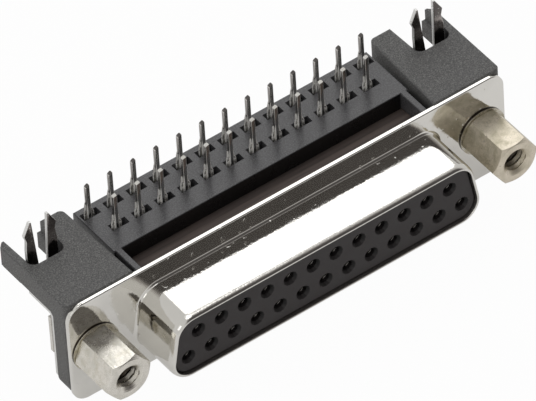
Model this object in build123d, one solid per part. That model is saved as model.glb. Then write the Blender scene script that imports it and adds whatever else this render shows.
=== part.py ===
from build123d import *
import os
from math import cos, radians, tan

# Right angle socket connector with 25 contacts, in millimetres.
# X runs along the rows of contacts, +Y goes back from the mating face, +Z points at the circuit board.
# The origin is the centre of the flat insulator face that the plug meets.

# Contact field
contact_pitch = 2.77
row_spacing = 2.84
wide_row_count = 13
narrow_row_count = 12
wide_row_height = -row_spacing / 2
narrow_row_height = row_spacing / 2
row_half_length = (wide_row_count - 1) / 2 * contact_pitch

# Front shell, a drawn steel sheet with its collar around the contact field
sheet_thickness = 0.45
collar_end_margin = 1.93
collar_mid_half_width = row_half_length + collar_end_margin
collar_half_height = 3.95
collar_side_angle = 10
collar_corner_radius = 2.4
collar_overhang = 0.35
collar_root_radius = 0.6
collar_rear_chamfer = 0.4
lip_outer_radius = 0.28
lip_inner_chamfer = 0.1
flange_front = 5.75
flange_back = flange_front + sheet_thickness
flange_corner_radius = 1.8
flange_edge_chamfer = 0.12
flange_hole_radius = 1.55

# Screw axes, 47.04 apart, and the flange ends outside them
screw_margin = 4.97
screw_x = collar_mid_half_width + screw_margin
flange_end_margin = 2.93
flange_half_width = screw_x + flange_end_margin

# Plate nuts, which set how wide the insulators can be
nut_half_width = 2.9
nut_clearance = 0.2
nut_drop = 3.0
nut_corner_cut = 1.5
nut_thickness = 0.43
nut_barrel_radius = 2.1
nut_barrel_length = 1.2

# Front insulator
plug_clearance = 0.06
face_edge_chamfer = 0.2
shoulder_step = 0.05
shoulder_half_width = screw_x - nut_half_width - nut_clearance
shoulder_half_height = collar_half_height + shoulder_step
shoulder_corner_radius = 1.2
shoulder_length = 2.85
seam_plane = flange_back + shoulder_length
lead_in_radius = 0.85
lead_in_depth = 0.35
bore_radius = 0.62
web_thickness = 0.75
hole_sides = 12
cavity_width = 1.6

# Rear insulator
rear_body_length = 2.3
rear_body_end = seam_plane + rear_body_length
rear_body_step = 0.1
rear_body_half_height = shoulder_half_height - rear_body_step
passage_width = 1.4
passage_height = 0.5

# Heights towards the board, built up from the insulator
comb_thickness = 2.0
comb_bottom = shoulder_half_height
comb_top = comb_bottom + comb_thickness
board_standoff = 0.6
bracket_top = comb_top + board_standoff
flange_drop = 0.2
flange_half_height = bracket_top - flange_drop

# Contacts, a split socket with a flat tail bent up through the board
socket_sides = 8
socket_outer_radius = 0.75
socket_bore_radius = 0.53
socket_gap = 0.05
socket_front = web_thickness + socket_gap
socket_bore_depth = 5.6
socket_end = seam_plane - socket_gap
slit_width = 0.22
slit_length = 4.2
strip_thickness = 0.3
strip_width = 1.2
strip_overlap = 0.5
bend_inner_cut = 0.3
bend_outer_cut = 0.5
tail_width = 0.55
flare_rise = 0.25
flare_length = 1.6
flare_lower_length = 0.7
flare_half = 0.37
flare_start = comb_top + flare_rise
flare_middle = flare_start + flare_lower_length
flare_end = flare_start + flare_length
tail_reach = 3.5
tail_top = bracket_top + tail_reach
tail_cut_drop = 0.45
leg_reach = 7.06
narrow_row_leg = flange_front + leg_reach
wide_row_leg = narrow_row_leg + row_spacing

# Comb that spaces the contact tails
comb_end_margin = 1.23
comb_half_width = row_half_length + comb_end_margin
comb_front_margin = 2.86
comb_front = narrow_row_leg - comb_front_margin
comb_back_margin = 1.2
comb_back = wide_row_leg + comb_back_margin
comb_slot_width = 2.0
comb_slot_depth = 0.92
comb_arm_step = 0.2
comb_arm_width = 0.7
strip_arm_outer = comb_half_width - comb_arm_step
strip_arm_inner = strip_arm_outer - comb_arm_width
comb_arm_gap = 0.1
strip_arm_front = flange_back + comb_arm_gap
comb_edge_chamfer = 0.08

# Plastic brackets that hold the flange to the board
bracket_end_step = 0.07
bracket_outer = flange_half_width - bracket_end_step
bracket_comb_gap = 0.42
bracket_taper = 0.43
bracket_inner_front = comb_half_width + bracket_comb_gap
bracket_inner_back = bracket_inner_front + bracket_taper
arm_clearance = 0.15
arm_bottom = shoulder_half_height + arm_clearance
plate_thickness = 2.25
plate_back = flange_back + plate_thickness
plate_bottom_corner_radius = 2.0
front_corner_radius = 0.55
back_corner_radius = 0.6
ear_clearance = 0.2
ear_height_clearance = 0.12
ear_pocket_edge = shoulder_half_width + ear_clearance
ear_pocket_half_height = shoulder_half_height + ear_height_clearance
arm_tip_chamfer = 0.5
bracket_edge_chamfer = 0.12
under_arm_web = 0.4
bracket_hole_radius = 1.6

# Slot in each bracket arm, around the prongs of the board lock
prong_offset = 1.24
lock_prong_plane = narrow_row_leg + prong_offset
slot_lead = 1.15
slot_front = lock_prong_plane - slot_lead
slot_tail = 3.47
bracket_back = lock_prong_plane + slot_tail
slot_inner_half = 2.07
slot_outer_half = 1.93
slot_taper = 0.17
slot_inner_front = screw_x - slot_inner_half
slot_inner_back = slot_inner_front - slot_taper
slot_outer_front = screw_x + slot_outer_half
slot_outer_back = slot_outer_front + slot_taper
slot_corner_radius = 0.8
slot_overrun = 1.0
rib_setback = 1.7
rib_front = slot_front + rib_setback
rib_rise = 1.05
rib_drop = 0.95
rib_top = arm_bottom + rib_rise
rib_bottom = arm_bottom - rib_drop
rib_step = 0.28
rib_width = 0.75

# Stamped board locks
lock_thickness = 0.4
lock_half_width = 2.85
lock_base_half_width = 1.82
lock_neck_half_width = 1.66
lock_barb_half_width = 1.88
lock_tip_outer = 1.1
lock_tip_inner = 0.86
lock_gap_half_width = 0.52
lock_shoulder_rise = 1.0
lock_neck_rise = 2.2
lock_barb_rise = 2.95
lock_top_rise = 4.35
lock_gap_drop = 1.7
lock_fork_drop = 2.0
lock_shoulder_height = bracket_top + lock_shoulder_rise
lock_neck_height = bracket_top + lock_neck_rise
lock_barb_height = bracket_top + lock_barb_rise
lock_top = bracket_top + lock_top_rise
lock_gap_bottom = bracket_top - lock_gap_drop
lock_fork_bottom = bracket_top - lock_fork_drop
lock_tab_bottom = -4.9
lock_tab_corner_radius = 0.6
lock_bend_inner_radius = 0.35
lock_hole_radius = 1.5

# Hexagonal screw locks with washers
hex_across_flats = 4.76
hex_half_angle = 30
hex_end = 0.05
hex_chamfer_radius = 2.3
hex_chamfer_length = 0.32
washer_thickness = 0.22
washer_outer_radius = 2.72
washer_inner_radius = 1.5
hex_base = flange_front - washer_thickness
thread_minor_radius = 1.2
thread_entry_radius = 1.62
thread_entry_depth = 0.42
thread_depth = 5.0
stem_radius = 1.4
stem_tip_chamfer = 0.25
stem_reach = 0.3
nut_bore_clearance = 0.03
nut_bore_radius = stem_radius + nut_bore_clearance
nut_top_gap = 0.2
nut_rise = arm_bottom - lock_thickness - lock_bend_inner_radius - nut_top_gap
nut_front = plate_back + lock_thickness
nut_barrel_end = nut_front + nut_barrel_length
stem_end = nut_barrel_end + stem_reach
left_hex_turn = 8
right_hex_turn = 3

# How edges and corners are picked out
pick_tolerance = 0.01
pick_margin_x = 1.5
pick_margin_z = 0.5
collar_window = (collar_mid_half_width + pick_margin_x, collar_half_height + pick_margin_z)


def along_y(outline, front, back):
    """Extrudes an outline drawn in X and Z from the plane y = front to the plane y = back."""
    return extrude(Plane.XZ.offset(-front) * outline, amount=back - front, dir=(0, 1, 0))


def along_x(outline, start, end):
    """Extrudes an outline drawn in Y and Z from the plane x = start to the plane x = end."""
    return extrude(Plane.YZ.offset(start) * outline, amount=end - start, dir=(1, 0, 0))


def along_z(outline, bottom, top):
    """Extrudes an outline drawn in X and Y from the plane z = bottom to the plane z = top."""
    return extrude(Plane.XY.offset(bottom) * outline, amount=top - bottom, dir=(0, 0, 1))


def block(x_range, y_range, z_range):
    """A box between two limits on each axis."""
    width = x_range[1] - x_range[0]
    depth = y_range[1] - y_range[0]
    height = z_range[1] - z_range[0]
    return Pos(x_range[0], y_range[0], z_range[0]) * Box(width, depth, height, align=(Align.MIN,) * 3)


def near(points, x, y):
    """The corners of an outline that lie at one point."""
    return [point for point in points if abs(point.X - x) + abs(point.Y - y) < pick_tolerance]


def d_outline(inset):
    """The D shaped outline of the collar, moved inwards by an inset, with its wide side down."""
    slope = tan(radians(collar_side_angle))
    half_height = collar_half_height - inset
    mid = collar_mid_half_width - inset / cos(radians(collar_side_angle))
    low = mid + half_height * slope
    high = mid - half_height * slope
    corners = [(-low, -half_height), (low, -half_height), (high, half_height), (-high, half_height)]
    outline = Polygon(*corners, align=None)
    return fillet(outline.vertices(), collar_corner_radius - inset)


def row_positions(count):
    """The X positions of a row of contacts, centred on the connector."""
    return [(index - (count - 1) / 2) * contact_pitch for index in range(count)]


def contact_places():
    """X, row height and leg position of each contact, wide row first."""
    wide = [(x, wide_row_height, wide_row_leg) for x in row_positions(wide_row_count)]
    narrow = [(x, narrow_row_height, narrow_row_leg) for x in row_positions(narrow_row_count)]
    return wide + narrow


def edges_in_plane(shape, y, half_width, half_height):
    """Edges of a shape that lie in one plane across Y and within a window around its centre."""
    found = []
    for edge in shape.edges():
        box = edge.bounding_box()
        flat = abs(box.min.Y - y) + abs(box.max.Y - y) < pick_tolerance
        inside = max(abs(box.min.X), abs(box.max.X)) < half_width
        inside = inside and max(abs(box.min.Z), abs(box.max.Z)) < half_height
        if flat and inside:
            found.append(edge)
    return found


def front_shell():
    """Flange with the drawn collar, a rounded lip, a root fillet and two screw holes."""
    lip_front = -collar_overhang
    plate = RectangleRounded(2 * flange_half_width, 2 * flange_half_height, flange_corner_radius)
    flange = along_y(plate, flange_front, flange_back)
    whole_face = (2 * flange_half_width, 2 * flange_half_height)
    flange = chamfer(edges_in_plane(flange, flange_front, *whole_face), flange_edge_chamfer)
    shell = flange + along_y(d_outline(0), lip_front, flange_back)
    shell = fillet(edges_in_plane(shell, flange_front, *collar_window), collar_root_radius)
    shell -= along_y(d_outline(sheet_thickness), lip_front, flange_back)
    shell = chamfer(edges_in_plane(shell, flange_back, *collar_window), collar_rear_chamfer)
    rim = shell.faces().filter_by(Axis.Y).sort_by(Axis.Y)[0]
    shell = shell.fillet(lip_outer_radius, rim.outer_wire().edges())
    rim = shell.faces().filter_by(Axis.Y).sort_by(Axis.Y)[0]
    shell = shell.chamfer(lip_inner_chamfer, None, rim.inner_wires()[0].edges())
    for side in (-1, 1):
        hole = Pos(side * screw_x, 0) * Circle(flange_hole_radius)
        shell -= along_y(hole, flange_front, flange_back)
    return shell


def many_sided(radius, sides, front, back):
    """Round bar along Y, drawn with a small number of sides because it repeats for every contact."""
    return along_y(RegularPolygon(radius, sides), front, back)


def cavity():
    """Void for one contact, with the lead-in, the bore in the face and the wider room for the socket."""
    mouth = Plane.XZ * RegularPolygon(lead_in_radius, hole_sides)
    throat = Plane.XZ.offset(-lead_in_depth) * RegularPolygon(bore_radius, hole_sides)
    lead_in = loft([mouth.face(), throat.face()])
    bore = many_sided(bore_radius, hole_sides, lead_in_depth, web_thickness)
    half = cavity_width / 2
    return lead_in + bore + block((-half, half), (web_thickness, seam_plane), (-half, half))


def front_insulator():
    """Plug that fills the collar, with a shoulder behind the flange and one cavity for each contact."""
    plug = along_y(d_outline(sheet_thickness + plug_clearance), 0, flange_back)
    plug = chamfer(edges_in_plane(plug, 0, *collar_window), face_edge_chamfer)
    outline = RectangleRounded(2 * shoulder_half_width, 2 * shoulder_half_height, shoulder_corner_radius)
    body = plug + along_y(outline, flange_back, seam_plane)
    void = cavity()
    return body - [Pos(x, 0, z) * void for x, z, leg in contact_places()]


def rear_insulator():
    """Block that closes the cavities from behind, with a passage for each flat tail."""
    outline = RectangleRounded(2 * shoulder_half_width, 2 * rear_body_half_height, shoulder_corner_radius)
    body = along_y(outline, seam_plane, rear_body_end)
    voids = []
    for x, z, leg in contact_places():
        passage = Pos(x, z) * Rectangle(passage_width, passage_height)
        voids.append(along_y(passage, seam_plane, rear_body_end))
    return body - voids


def socket():
    """Rolled socket of a contact, open at the front and slit into two tines."""
    body = many_sided(socket_outer_radius, socket_sides, socket_front, socket_end)
    body -= many_sided(socket_bore_radius, socket_sides, socket_front, socket_front + socket_bore_depth)
    half = slit_width / 2
    reach = 2 * socket_outer_radius
    return body - block((-half, half), (socket_front, socket_front + slit_length), (-reach, reach))


def tail_outline(row_height):
    """Front view of the flat tail, flared at the comb and cut off obliquely at the tip."""
    wide = strip_width / 2
    slim = tail_width / 2
    low = row_height - strip_thickness
    corners = [
        (-wide, low),
        (wide, low),
        (wide, flare_start),
        (flare_half, flare_middle),
        (slim, flare_end),
        (slim, tail_top),
        (-slim, tail_top - tail_cut_drop),
        (-slim, flare_end),
        (-flare_half, flare_middle),
        (-wide, flare_start),
    ]
    return Polygon(*corners, align=None)


def tail_side(row_height, leg):
    """Side view of the flat tail with its right angle bend."""
    half = strip_thickness / 2
    start = socket_end - strip_overlap
    corners = [
        (start, row_height - half),
        (leg + half, row_height - half),
        (leg + half, tail_top),
        (leg - half, tail_top),
        (leg - half, row_height + half),
        (start, row_height + half),
    ]
    outline = Polygon(*corners, align=None)
    outline = chamfer(near(outline.vertices(), leg - half, row_height + half), bend_inner_cut)
    return chamfer(near(outline.vertices(), leg + half, row_height - half), bend_outer_cut)


def contact(row_height, leg):
    """One contact at x = 0, its socket in the row and its tail up through the comb."""
    half = strip_width / 2
    tail = along_x(tail_side(row_height, leg), -half, half)
    tail &= along_y(tail_outline(row_height), 0, leg + strip_width)
    return Pos(0, 0, row_height) * socket() + tail


def comb():
    """Plate with a slot for each tail and two arms that reach forward to the flange."""
    plate = block((-comb_half_width, comb_half_width), (comb_front, comb_back), (comb_bottom, comb_top))
    for side in (-1, 1):
        limits = sorted((side * strip_arm_inner, side * strip_arm_outer))
        plate += block(limits, (strip_arm_front, comb_front), (comb_bottom, comb_top))
    slots = []
    for x, z, leg in contact_places():
        slot = Pos(x, leg) * Rectangle(comb_slot_width, comb_slot_depth)
        slots.append(along_z(slot, comb_bottom, comb_top))
    body = chamfer(plate.edges().group_by(Axis.Z)[-1], comb_edge_chamfer)
    return body - slots


def slot_outline():
    """Plan of the slot in the right bracket, open at the back, with rounded front corners."""
    past = bracket_back + slot_overrun
    corners = [
        (slot_inner_front, slot_front),
        (slot_outer_front, slot_front),
        (slot_outer_back, bracket_back),
        (slot_outer_back, past),
        (slot_inner_back, past),
        (slot_inner_back, bracket_back),
    ]
    outline = Polygon(*corners, align=None)
    points = outline.vertices()
    rounded = near(points, slot_inner_front, slot_front) + near(points, slot_outer_front, slot_front)
    return fillet(rounded, slot_corner_radius)


def guide_ribs():
    """Two ribs on the walls of the slot of the right bracket, behind the prongs of the board lock."""
    inner_face = slot_inner_front + rib_step
    outer_face = slot_outer_front - rib_step
    depth = (rib_front, bracket_back)
    height = (rib_bottom, rib_top)
    inner = block((inner_face - rib_width, inner_face), depth, height)
    return inner + block((outer_face, outer_face + rib_width), depth, height)


def plate_outline():
    """Front view of the upright plate of the right bracket, with the pocket for the insulator ear."""
    corners = [
        (bracket_inner_front, -flange_half_height),
        (bracket_outer, -flange_half_height),
        (bracket_outer, arm_bottom),
        (ear_pocket_edge, arm_bottom),
        (ear_pocket_edge, -ear_pocket_half_height),
        (bracket_inner_front, -ear_pocket_half_height),
    ]
    outline = Polygon(*corners, align=None)
    return fillet(near(outline.vertices(), bracket_outer, -flange_half_height), plate_bottom_corner_radius)


def rounded_front(inner_back, back):
    """Plan of the right bracket as far back as a given Y, with its front outer corner rounded."""
    corners = [
        (bracket_inner_front, flange_back),
        (bracket_outer, flange_back),
        (bracket_outer, back),
        (inner_back, back),
    ]
    plan = Polygon(*corners, align=None)
    return fillet(near(plan.vertices(), bracket_outer, flange_back), front_corner_radius)


def right_bracket():
    """Upright plate behind the flange and an arm along the board with a slot for the board lock."""
    plan = rounded_front(bracket_inner_back, bracket_back)
    plan = chamfer(near(plan.vertices(), bracket_outer, bracket_back), arm_tip_chamfer)
    plan = fillet(near(plan.vertices(), bracket_inner_back, bracket_back), back_corner_radius)
    plate = along_y(plate_outline(), flange_back, plate_back)
    plate &= along_z(rounded_front(bracket_inner_front, plate_back), -flange_half_height, arm_bottom)
    body = along_z(plan, arm_bottom, bracket_top) + plate
    corner = (plate_back, arm_bottom)
    behind = (plate_back + under_arm_web, arm_bottom)
    below = (plate_back, arm_bottom - under_arm_web)
    web = Polygon(corner, behind, below, align=None)
    body += along_x(web, ear_pocket_edge, bracket_outer)
    body -= along_z(slot_outline(), arm_bottom, bracket_top)
    body = chamfer(body.edges().group_by(Axis.Z)[-1], bracket_edge_chamfer)
    body += guide_ribs()
    hole = Pos(screw_x, 0) * Circle(bracket_hole_radius)
    return body - along_y(hole, flange_back, plate_back)


def fork_outline():
    """Front view of the two barbed prongs of a board lock."""
    right = [
        (lock_gap_half_width, lock_gap_bottom),
        (lock_tip_inner, lock_top),
        (lock_tip_outer, lock_top),
        (lock_barb_half_width, lock_barb_height),
        (lock_neck_half_width, lock_neck_height),
        (lock_base_half_width, lock_shoulder_height),
        (lock_base_half_width, arm_bottom),
    ]
    left = [(-x, z) for x, z in reversed(right)]
    return Polygon(*(right + left), align=None)


def board_lock():
    """Stamped fork whose strap runs under the arm and down behind the upright plate, centred on x = 0."""
    half = lock_thickness / 2
    front_face = lock_prong_plane - half
    back_face = lock_prong_plane + half
    strap_bottom = arm_bottom - lock_thickness
    tab_back = plate_back + lock_thickness
    corners = [
        (front_face, lock_top),
        (back_face, lock_top),
        (back_face, strap_bottom),
        (tab_back, strap_bottom),
        (tab_back, lock_tab_bottom),
        (plate_back, lock_tab_bottom),
        (plate_back, arm_bottom),
        (front_face, arm_bottom),
    ]
    outer_radius = lock_bend_inner_radius + lock_thickness
    side = Polygon(*corners, align=None)
    side = fillet(near(side.vertices(), back_face, strap_bottom), outer_radius)
    side = fillet(near(side.vertices(), plate_back, arm_bottom), outer_radius)
    side = fillet(near(side.vertices(), front_face, arm_bottom), lock_bend_inner_radius)
    side = fillet(near(side.vertices(), tab_back, strap_bottom), lock_bend_inner_radius)
    strip = along_x(side, -lock_half_width, lock_half_width)
    narrow_from = slot_front - lock_thickness
    far = back_face + lock_thickness
    for limits in ((-lock_half_width, -lock_base_half_width), (lock_base_half_width, lock_half_width)):
        strip -= block(limits, (narrow_from, far), (strap_bottom, lock_top))
    whole_width = (-lock_half_width, lock_half_width)
    strip -= block(whole_width, (front_face, far), (lock_fork_bottom, lock_top))
    prongs = along_y(fork_outline(), front_face, back_face)
    prongs -= block(whole_width, (front_face, back_face), (arm_bottom, lock_fork_bottom))
    lock = strip + prongs
    lower_edges = lock.edges().filter_by(Axis.Y).group_by(Axis.Z)[0]
    lock = fillet(lower_edges, lock_tab_corner_radius)
    return lock - along_y(Circle(lock_hole_radius), plate_back, tab_back)


def screw_lock(turn):
    """Hexagonal standoff with a chamfered threaded end and a stem through the flange, on the Y axis."""
    corner_radius = hex_across_flats / 2 / cos(radians(hex_half_angle))
    profile = [
        (0, hex_end),
        (hex_chamfer_radius, hex_end),
        (corner_radius, hex_end + hex_chamfer_length),
        (corner_radius, hex_base),
        (0, hex_base),
    ]
    hexagon = RegularPolygon(hex_across_flats / 2, 6, major_radius=False, rotation=turn)
    head = along_y(hexagon, hex_end, hex_base)
    head &= revolve(Polygon(*profile, align=None), Axis.Y)
    stem = [
        (0, hex_base),
        (stem_radius, hex_base),
        (stem_radius, stem_end - stem_tip_chamfer),
        (stem_radius - stem_tip_chamfer, stem_end),
        (0, stem_end),
    ]
    body = head + revolve(Polygon(*stem, align=None), Axis.Y)
    thread = [
        (0, hex_end),
        (thread_entry_radius, hex_end),
        (thread_minor_radius, hex_end + thread_entry_depth),
        (thread_minor_radius, hex_end + thread_depth),
        (0, hex_end + thread_depth + thread_minor_radius / 2),
    ]
    return body - revolve(Polygon(*thread, align=None), Axis.Y)


def washer():
    """Plain washer between a hexagonal head and the flange, on the Y axis."""
    ring = Circle(washer_outer_radius) - Circle(washer_inner_radius)
    return along_y(ring, hex_base, flange_front)


def nut():
    """Plate nut behind the board lock, with clipped lower corners and a round barrel, on the Y axis."""
    corners = [
        (-nut_half_width, nut_rise),
        (nut_half_width, nut_rise),
        (nut_half_width, -nut_drop),
        (-nut_half_width, -nut_drop),
    ]
    outline = Polygon(*corners, align=None)
    points = outline.vertices()
    lower = near(points, nut_half_width, -nut_drop) + near(points, -nut_half_width, -nut_drop)
    outline = chamfer(lower, nut_corner_cut)
    body = along_y(outline, nut_front, nut_front + nut_thickness)
    body += along_y(Circle(nut_barrel_radius), nut_front, nut_barrel_end)
    return body - along_y(Circle(nut_bore_radius), nut_front, nut_barrel_end)


def save(shape, name):
    """Writes one piece under its node name."""
    export_step(shape, "parts/" + name + ".step")


os.makedirs("parts", exist_ok=True)
save(front_shell(), "front_shell")
save(front_insulator(), "front_insulator")
save(rear_insulator(), "rear_insulator")
save(comb(), "tail_comb")

wide_contact = contact(wide_row_height, wide_row_leg)
narrow_contact = contact(narrow_row_height, narrow_row_leg)
number = 0
for model, count in ((wide_contact, wide_row_count), (narrow_contact, narrow_row_count)):
    for x in row_positions(count):
        number += 1
        save(Pos(x, 0, 0) * model, "contact_" + str(number).zfill(2))

bracket = right_bracket()
lock = board_lock()
ring = washer()
plate_nut = nut()
for side_name, side, turn in (("left", -1, left_hex_turn), ("right", 1, right_hex_turn)):
    place = Pos(side * screw_x, 0, 0)
    save(bracket if side > 0 else mirror(bracket, Plane.YZ), side_name + "_bracket")
    save(place * lock, side_name + "_board_lock")
    save(place * screw_lock(turn), side_name + "_screw_lock")
    save(place * ring, side_name + "_washer")
    save(place * plate_nut, side_name + "_nut")
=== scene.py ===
import logging
import math
from dataclasses import dataclass, replace
from enum import Enum
from typing import Callable, Dict, List, Optional, Sequence, Tuple, Union

import bmesh
import bpy
from mathutils import Matrix, Vector
from mathutils.kdtree import KDTree


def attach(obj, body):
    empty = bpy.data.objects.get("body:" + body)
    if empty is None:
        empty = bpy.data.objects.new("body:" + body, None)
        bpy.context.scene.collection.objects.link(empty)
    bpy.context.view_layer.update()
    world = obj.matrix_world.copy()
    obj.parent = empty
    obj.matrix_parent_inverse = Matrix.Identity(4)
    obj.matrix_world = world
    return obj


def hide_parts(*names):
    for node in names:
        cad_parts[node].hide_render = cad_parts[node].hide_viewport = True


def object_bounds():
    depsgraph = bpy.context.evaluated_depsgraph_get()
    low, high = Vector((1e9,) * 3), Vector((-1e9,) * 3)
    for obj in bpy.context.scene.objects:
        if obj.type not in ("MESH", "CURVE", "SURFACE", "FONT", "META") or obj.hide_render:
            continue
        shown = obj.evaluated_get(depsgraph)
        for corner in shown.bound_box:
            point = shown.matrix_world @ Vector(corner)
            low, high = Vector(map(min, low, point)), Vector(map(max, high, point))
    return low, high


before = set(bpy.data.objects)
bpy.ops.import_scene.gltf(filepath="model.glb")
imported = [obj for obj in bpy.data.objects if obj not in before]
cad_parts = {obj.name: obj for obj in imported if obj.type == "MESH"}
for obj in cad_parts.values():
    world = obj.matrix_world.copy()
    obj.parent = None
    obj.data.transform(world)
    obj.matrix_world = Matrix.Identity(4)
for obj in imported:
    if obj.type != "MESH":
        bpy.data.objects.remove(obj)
CAD_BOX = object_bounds()

# Lengths are in millimetres unless a docstring says metres. The meshes and the materials are in metres.
MM = 0.001
LOG = logging.getLogger("connector")

Point = Tuple[float, float]
Span = Tuple[float, float]
Colour = Tuple[float, float, float]
Number = Union[int, float]

WHITE = (1.0, 1.0, 1.0)

# Radius of the small flat that closes a turned body at its axis
CORE = 0.05


class Side(Enum):
    """The two ends of the connector, with the sign of X that each lies on."""

    LEFT = -1
    RIGHT = 1


class Row(Enum):
    """The two rows of contacts."""

    WIDE = "wide"
    NARROW = "narrow"


class Keep(Enum):
    """What a cut leaves of a piece: what lies outside the tool, or what lies inside it."""

    OUTSIDE = "DIFFERENCE"
    INSIDE = "INTERSECT"


# Node expressions


class Wire:
    """An output socket that adds Math nodes when it is used in an expression."""

    def __init__(self, sheet: "NodeSheet", socket: bpy.types.NodeSocket) -> None:
        """Keeps the socket and the sheet it lies on.

        Args:
            sheet: The node sheet that new nodes are added to.
            socket: The output socket to wrap.
        """
        self.sheet = sheet
        self.socket = socket

    def _math(self, operation: str, first: "Feed", second: "Feed" = 0.0) -> "Wire":
        """Adds one Math node.

        Args:
            operation: Blender's name of the operation.
            first: The first value.
            second: The second value.

        Returns:
            The node's output.
        """
        return self.sheet.wire("ShaderNodeMath", {"operation": operation}, {0: first, 1: second})

    def __add__(self, other: "Feed") -> "Wire":
        """Sum of the two."""
        return self._math("ADD", self, other)

    __radd__ = __add__

    def __sub__(self, other: "Feed") -> "Wire":
        """This less the other."""
        return self._math("SUBTRACT", self, other)

    def __rsub__(self, other: "Feed") -> "Wire":
        """The other less this."""
        return self._math("SUBTRACT", other, self)

    def __mul__(self, other: "Feed") -> "Wire":
        """Product of the two."""
        return self._math("MULTIPLY", self, other)

    __rmul__ = __mul__

    def __truediv__(self, other: "Feed") -> "Wire":
        """This over the other."""
        return self._math("DIVIDE", self, other)

    def __pow__(self, other: "Feed") -> "Wire":
        """This to the power of the other."""
        return self._math("POWER", self, other)

    def fraction(self) -> "Wire":
        """What is left of this above its whole part."""
        return self._math("FRACT", self)

    def at_least(self, other: "Feed") -> "Wire":
        """The larger of the two."""
        return self._math("MAXIMUM", self, other)

    def size(self) -> "Wire":
        """This without its sign."""
        return self._math("ABSOLUTE", self)

    def sine(self) -> "Wire":
        """The sine of this, in radians."""
        return self._math("SINE", self)

    def step(self, low: float, high: float) -> "Wire":
        """Rises smoothly from 0 to 1.

        Args:
            low: Where the result is still 0.
            high: Where the result has reached 1.

        Returns:
            The smoothed value.
        """
        settings = {"interpolation_type": "SMOOTHSTEP", "clamp": True}
        inputs = {"Value": self, "From Min": low, "From Max": high, "To Min": 0.0, "To Max": 1.0}
        return self.sheet.wire("ShaderNodeMapRange", settings, inputs, "Result")

    def between(self, low: float, high: float) -> "Wire":
        """Maps 0 to 1 onto a range.

        Args:
            low: The result at 0.
            high: The result at 1.

        Returns:
            The mapped value.
        """
        return self * (high - low) + low


Feed = Union[Wire, Number, Tuple[float, ...]]


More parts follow.
